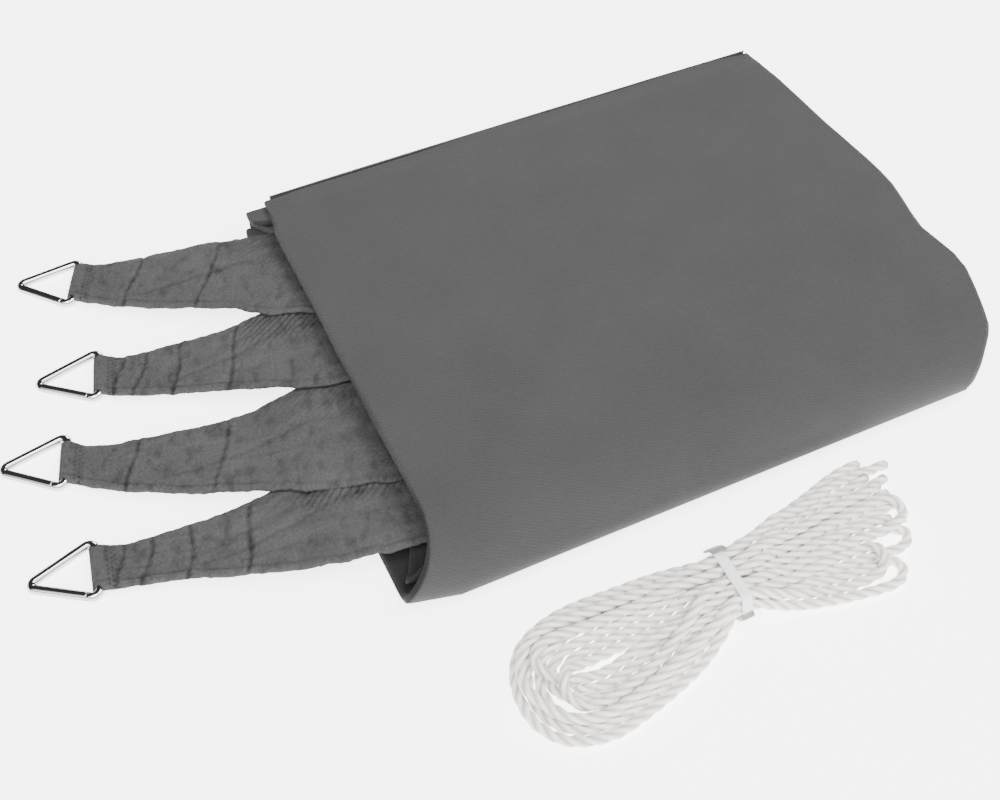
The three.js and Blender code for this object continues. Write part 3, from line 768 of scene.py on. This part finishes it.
def ring_object(number, placed):
    """A wire triangle with its base bar in the cloth and its butt joint low on the front leg."""
    width, length, base_bend, apex_bend = 50.0, 53.0, 5.0, 4.0
    half_bar = (width - WIRE) / 2 - base_bend
    apex_x = length - WIRE - apex_bend
    run = np.array([apex_x - base_bend, -half_bar])
    lean = math.atan2(half_bar, run[0]) + math.asin((base_bend - apex_bend) / np.linalg.norm(run))

    # Directions run anticlockwise from the front leg; centres are (out, sideways).
    def arc(centre, radius, start, end, count):
        return [
            (centre[0] + radius * math.sin(g), centre[1] - radius * math.cos(g))
            for g in np.linspace(start, end, count)
        ]

    apex = arc((apex_x, 0), apex_bend, lean, math.pi - lean, 16)
    back = arc((base_bend, half_bar), base_bend, math.pi - lean, 1.5 * math.pi, 14)
    front = arc((base_bend, -half_bar), base_bend, 1.5 * math.pi, 2 * math.pi + lean, 14)
    direction = np.array([math.cos(lean), math.sin(lean)])
    last = np.array(front[-1])
    butt = [last + direction * 1.5]
    first = [last + direction * d for d in (2.3, 2.9, 8, 14, 20, 26)]
    first = [p for p in first if p[0] < apex[0][0] - 2]
    flat = np.array([*first, *apex, *back, *front, *butt])
    slope = math.asin((BAR_HEIGHT - WIRE / 2 - 0.1) / (length - WIRE))
    out = placed.out * math.cos(slope) - np.array([0, 0, math.sin(slope)])
    line = placed.bar + flat[:, :1] * out + flat[:, 1:] * placed.side
    normal = np.cross(out, placed.side)
    tangent = np.gradient(line, axis=0)
    tangent /= np.linalg.norm(tangent, axis=1)[:, None]
    across = np.cross(tangent, normal)
    sides = 20
    turn = np.arange(sides) * 2 * math.pi / sides

    def circle(i, step, radius):
        spoke = np.cos(turn)[:, None] * across[i] + np.sin(turn)[:, None] * normal
        return line[i] + tangent[i] * step + radius * spoke

    rings = [circle(i, 0.0, WIRE / 2) for i in range(len(line))]
    filed = WIRE / 2 - 0.35
    points = np.array([circle(0, -0.25, filed), *rings, circle(-1, 0.25, filed)])
    uv = np.zeros((len(points), sides + 1, 2))
    return grid_object(f"corner_{number}_ring", points, uv,
                       wrap=True, cap_first=True, cap_last=True)


tail_objects, ring_objects = [], []
for number, tail in enumerate(TAILS, 1):
    placed = TailFrame(tail)
    cloth = tail_object(number, tail, placed)
    halves = smooth_table(tail["half"], np.linspace(0, placed.root, 50))
    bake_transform(cloth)
    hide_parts(f"corner_root_{number}", f"corner_tail_{number}", f"corner_patch_{number}",
                f"ring_loop_{number}")
    ring = ring_object(number, placed)
    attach(ring, f"ring_{number}")
    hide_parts(f"ring_{number}")
    tail_objects.append(cloth)
    ring_objects.append(ring)

# ---- Materials ------------------------------------------------------------------------------


def material(name, color, roughness, **sockets):
    made = bpy.data.materials.new(name)
    made.use_nodes = True
    shader = made.node_tree.nodes["Principled BSDF"]
    shader.inputs["Base Color"].default_value = (*color, 1)
    shader.inputs["Roughness"].default_value = roughness
    for socket, value in sockets.items():
        shader.inputs[socket.replace("_", " ")].default_value = value
    return made, made.node_tree, shader


def node(tree, kind, inputs=None, **settings):
    made = tree.nodes.new(kind)
    for name, value in settings.items():
        setattr(made, name, value)
    for name, value in (inputs or {}).items():
        if isinstance(value, bpy.types.NodeSocket):
            tree.links.new(value, made.inputs[name])
        else:
            made.inputs[name].default_value = value
    return made


def scaled_uv(tree, scale, rotation=0.0):
    coordinate = node(tree, "ShaderNodeUVMap", uv_map="UVMap")
    return node(tree, "ShaderNodeMapping", {
        "Vector": coordinate.outputs["UV"], "Scale": scale, "Rotation": (0, 0, rotation),
    }).outputs["Vector"]


def mix_colors(tree, factor, low, high):
    mixed = node(tree, "ShaderNodeMix", {0: factor}, data_type="RGBA")
    mixed.inputs[6].default_value = (*low, 1)
    mixed.inputs[7].default_value = (*high, 1)
    return mixed.outputs[2]


def weighted_sum(tree, first, *rest):
    """The sum of sockets, each times its weight."""
    socket, weight = first
    total = node(tree, "ShaderNodeMath", {0: socket, 1: weight}, operation="MULTIPLY").outputs[0]
    for socket, weight in rest:
        total = node(tree, "ShaderNodeMath", {0: socket, 1: weight, 2: total},
                     operation="MULTIPLY_ADD").outputs[0]
    return total


def cloth_material(name, low, high, row_share, row_relief, knit_relief):
    """Knitted tape cloth: faint slanting rows of loops over a fine uneven knit, with painted shade
    from a point attribute darkening it in creases and hollows."""
    made, tree, shader = material(name, low, 0.84, Specular_IOR_Level=0.25)
    slant = math.radians(-55)
    rows = node(tree, "ShaderNodeTexWave", {
        "Vector": scaled_uv(tree, (1, 1, 1), slant), "Scale": 0.115,
        "Distortion": 2.2, "Detail": 3.0, "Detail Scale": 1.4, "Detail Roughness": 0.65,
    }, wave_type="BANDS", bands_direction="X", wave_profile="SIN").outputs["Fac"]
    loops = node(tree, "ShaderNodeTexVoronoi", {
        "Vector": scaled_uv(tree, (0.85, 0.6, 1), slant), "Scale": 1.0, "Randomness": 0.8,
    }, feature="F1", distance="EUCLIDEAN").outputs["Distance"]
    streaks = node(tree, "ShaderNodeTexNoise", {
        "Vector": scaled_uv(tree, (0.42, 0.42, 1)), "Scale": 1.0, "Detail": 5.0, "Roughness": 0.7,
    }).outputs["Fac"]
    slow = node(tree, "ShaderNodeTexNoise", {
        "Vector": scaled_uv(tree, (0.014, 0.014, 1)), "Scale": 1.0, "Detail": 3.0, "Roughness": 0.5,
    }).outputs["Fac"]
    tone = weighted_sum(tree, (rows, row_share), (streaks, 0.6), (slow, 0.4))
    tone = node(tree, "ShaderNodeMapRange", {
        "Value": tone, "From Min": 0.35, "From Max": 0.65 + row_share,
    }).outputs[0]
    color = mix_colors(tree, tone, low, high)
    # Painted shade: the colour darkens towards 0.3 of the low colour in the tails' creases, seams
    # and stitch lines and on the inner plies inside the folds' mouth.
    painted_shade = node(tree, "ShaderNodeAttribute", attribute_name="painted_shade").outputs["Fac"]
    painted_shade_mix = node(tree, "ShaderNodeMix", {0: painted_shade, 6: color}, data_type="RGBA")
    painted_shade_mix.inputs[7].default_value = (*(0.3 * value for value in low), 1)
    tree.links.new(painted_shade_mix.outputs[2], shader.inputs["Base Color"])
    relief = weighted_sum(tree, (loops, -knit_relief), (rows, row_relief),
                          (streaks, 1.4 * knit_relief))
    bump = node(tree, "ShaderNodeBump", {"Height": relief, "Strength": 0.6, "Distance": 0.0007})
    tree.links.new(bump.outputs["Normal"], shader.inputs["Normal"])
    return made


def rope_material():
    """White laid fibre: lines along each strand, painted shade in the valleys, greyish melted tips.
    """
    made, tree, shader = material("rope_fibre", (0.8, 0.8, 0.8), 0.5, Specular_IOR_Level=0.45)
    crest = node(tree, "ShaderNodeAttribute", attribute_name="crest").outputs["Fac"]
    melt = node(tree, "ShaderNodeAttribute", attribute_name="melt").outputs["Fac"]
    fibre = node(tree, "ShaderNodeTexNoise", {
        "Vector": scaled_uv(tree, (2.6, 0.16, 1), math.radians(-14)), "Scale": 1.0, "Detail": 4.0,
        "Roughness": 0.65,
    }).outputs["Fac"]
    # Painted shade: the colour darkens from white on the strands' crests to brown-grey in the
    # valleys between them.
    body = mix_colors(tree, crest, (0.46, 0.39, 0.345), (0.97, 0.94, 0.90))
    tips = node(tree, "ShaderNodeMix", {0: melt, 6: body}, data_type="RGBA")
    tips.inputs[7].default_value = (0.30, 0.30, 0.26, 1)
    tree.links.new(tips.outputs[2], shader.inputs["Base Color"])
    bump = node(tree, "ShaderNodeBump", {"Height": fibre, "Strength": 0.55, "Distance": 0.0005})
    tree.links.new(bump.outputs["Normal"], shader.inputs["Normal"])
    shader.inputs["Subsurface Weight"].default_value = 0.12
    shader.inputs["Subsurface Radius"].default_value = (0.003, 0.0028, 0.0026)
    return made


def steel_material():
    made, tree, shader = material("polished_steel", (0.56, 0.56, 0.57), 0.07, Metallic=1.0)
    shader.inputs["Specular Tint"].default_value = (0.04, 0.04, 0.04, 1)
    coordinate = node(tree, "ShaderNodeTexCoord").outputs["Object"]
    brushed = node(tree, "ShaderNodeTexNoise", {
        "Vector": coordinate, "Scale": 420.0, "Detail": 3.0, "Roughness": 0.6,
    }).outputs["Fac"]
    ranged = node(tree, "ShaderNodeMapRange", {
        "Value": brushed, "From Min": 0.3, "From Max": 0.7, "To Min": 0.05, "To Max": 0.16,
    }).outputs[0]
    tree.links.new(ranged, shader.inputs["Roughness"])
    bump = node(tree, "ShaderNodeBump", {"Height": brushed, "Strength": 0.08, "Distance": 0.0002})
    tree.links.new(bump.outputs["Normal"], shader.inputs["Normal"])
    return made


def tie_material(name, color):
    made, tree, shader = material(name, color, 0.28)
    ridges = node(tree, "ShaderNodeTexWave", {
        "Vector": scaled_uv(tree, (1, 1, 1)), "Scale": 0.35, "Distortion": 0.4,
    }, wave_type="BANDS", bands_direction="Y").outputs["Fac"]
    bump = node(tree, "ShaderNodeBump", {"Height": ridges, "Strength": 0.35, "Distance": 0.0003})
    tree.links.new(bump.outputs["Normal"], shader.inputs["Normal"])
    return made


packet_cloth = cloth_material(
    "knit_packet", (0.0345, 0.0345, 0.0352), (0.048, 0.048, 0.049), 0.20, 0.36, 0.75)
tail_cloth = cloth_material(
    "knit_tail", (0.036, 0.036, 0.037), (0.071, 0.071, 0.072), 0.0, 0.0, 1.3)
fibre, steel = rope_material(), steel_material()
strap = tie_material("clear_strap", (0.90, 0.90, 0.88))
# Dark grey pieces for the tie's head and its loose end.
dark_strap = tie_material("grey_strap", (0.27, 0.28, 0.265))
finishes = [
    (packet_cloth, [sail, lower_edges, upper_edges]), (tail_cloth, tail_objects),
    (steel, ring_objects), (fibre, rope_objects), (strap, [tie]), (dark_strap, [head, loose]),
]
for obj, finish in [(obj, finish) for finish, objects in finishes for obj in objects]:
    obj.data.materials.clear()
    obj.data.materials.append(finish)

# ---- Studio ---------------------------------------------------------------------------------

FLOOR_HALF = 40
FLOOR_GLOW = 3.6
SKY_STRENGTH = 3.0


def make_floor():
    mesh = bpy.data.meshes.new("floor")
    half = FLOOR_HALF
    corners = [(-half, -half, 0), (half, -half, 0), (half, half, 0), (-half, half, 0)]
    mesh.from_pydata(corners, [], [(0, 1, 2, 3)])
    obj = bpy.data.objects.new("floor", mesh)
    made, _, shader = material("pale_floor", (0.93, 0.93, 0.93), 0.9)
    shader.inputs["Emission Color"].default_value = (1, 1, 1, 1)
    shader.inputs["Emission Strength"].default_value = FLOOR_GLOW
    mesh.materials.append(made)
    bpy.context.scene.collection.objects.link(obj)


def make_light(name, location, target, size, watts):
    data = bpy.data.lights.new(name, "AREA")
    data.shape = "SQUARE"
    data.size = size
    data.energy = watts
    light = bpy.data.objects.new(name, data)
    light.location = location
    light.rotation_euler = (Vector(target) - Vector(location)).to_track_quat("-Z", "Y").to_euler()
    bpy.context.scene.collection.objects.link(light)


def make_world():
    """Bright high in front and dark low and behind, so that the steel shows both."""
    world = bpy.data.worlds.new("studio")
    bpy.context.scene.world = world
    world.use_nodes = True
    tree = world.node_tree
    direction = node(tree, "ShaderNodeTexCoord").outputs["Generated"]
    axes = node(tree, "ShaderNodeSeparateXYZ", {"Vector": direction})
    forward = node(tree, "ShaderNodeMapRange", {
        "Value": axes.outputs["Y"], "From Min": 0.05, "From Max": -0.30,
    }).outputs[0]
    upward = node(tree, "ShaderNodeMapRange", {
        "Value": axes.outputs["Z"], "From Min": 0.12, "From Max": 0.38,
    }).outputs[0]
    share = node(tree, "ShaderNodeMath", {0: forward, 1: upward}, operation="MULTIPLY").outputs[0]
    ramp = node(tree, "ShaderNodeValToRGB", {"Fac": share})
    ramp.color_ramp.elements[0].position = 0.0
    ramp.color_ramp.elements[0].color = (0.02, 0.02, 0.02, 1)
    ramp.color_ramp.elements[1].position = 1.0
    ramp.color_ramp.elements[1].color = (1, 1, 1, 1)
    background = tree.nodes["Background"]
    tree.links.new(ramp.outputs["Color"], background.inputs["Color"])
    background.inputs["Strength"].default_value = SKY_STRENGTH


make_floor()
make_world()
make_light("key", (-0.7, -0.9, 2.3), (0.05, -0.1, 0), 1.5, 58)
make_light("fill", (1.15, -0.5, 2.3), (0.05, -0.1, 0), 1.2, 60)
make_light("rear", (0.9, 2.4, 1.0), (0.1, 0.1, 0), 0.9, 40)
